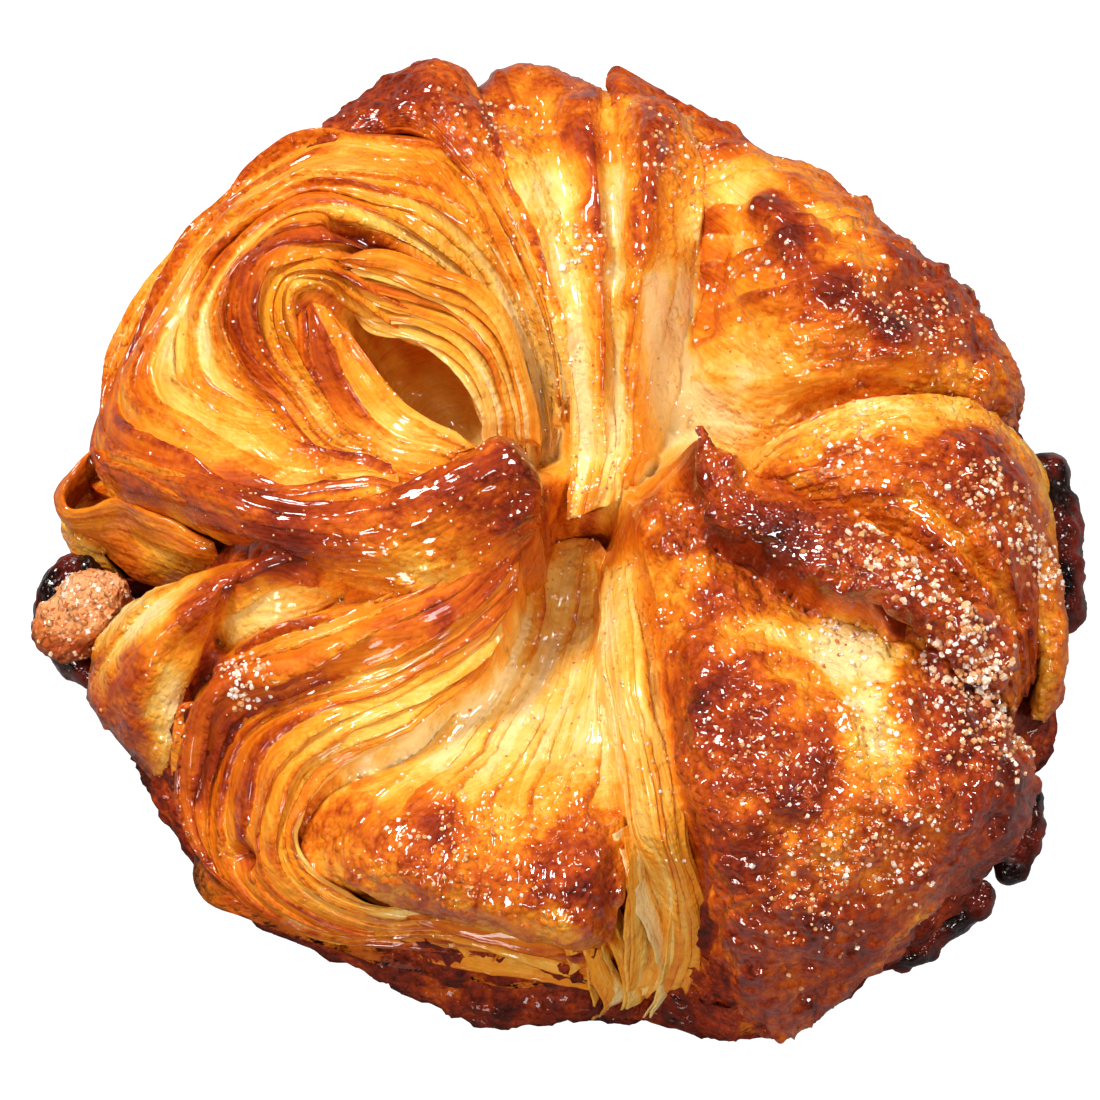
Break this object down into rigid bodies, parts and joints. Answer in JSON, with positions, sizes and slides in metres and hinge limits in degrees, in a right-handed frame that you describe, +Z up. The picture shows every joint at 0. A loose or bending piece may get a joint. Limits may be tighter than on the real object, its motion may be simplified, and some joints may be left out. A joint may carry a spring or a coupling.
{
  "type": "kouign amann",
  "caption": "Round laminated caramelised pastry whose corners are folded to its middle, glazed and browned, with burnt caramel on its rim.",
  "frame": {"origin": "centre of the bounding box at the flat underside", "axes": "+Z up through the thickness, +X across the widest way with its caramel lumps, -Y towards the front"},
  "size_m": [0.104, 0.0988, 0.039],
  "materials": {
    "baked_crust": "caramelised laminated dough with a thin clear sugar glaze",
    "sugar_crumb": "rough sugar-crusted crumb",
    "burnt_caramel": "hard glossy burnt caramel"
  },
  "bodies": {
    "root": {"pastry": "baked_crust", "crumb_knob": "sugar_crumb", "caramel_left": "burnt_caramel", "caramel_right_back": "burnt_caramel", "caramel_right": "burnt_caramel", "caramel_front_right": "burnt_caramel"}
  },
  "joints": []
}
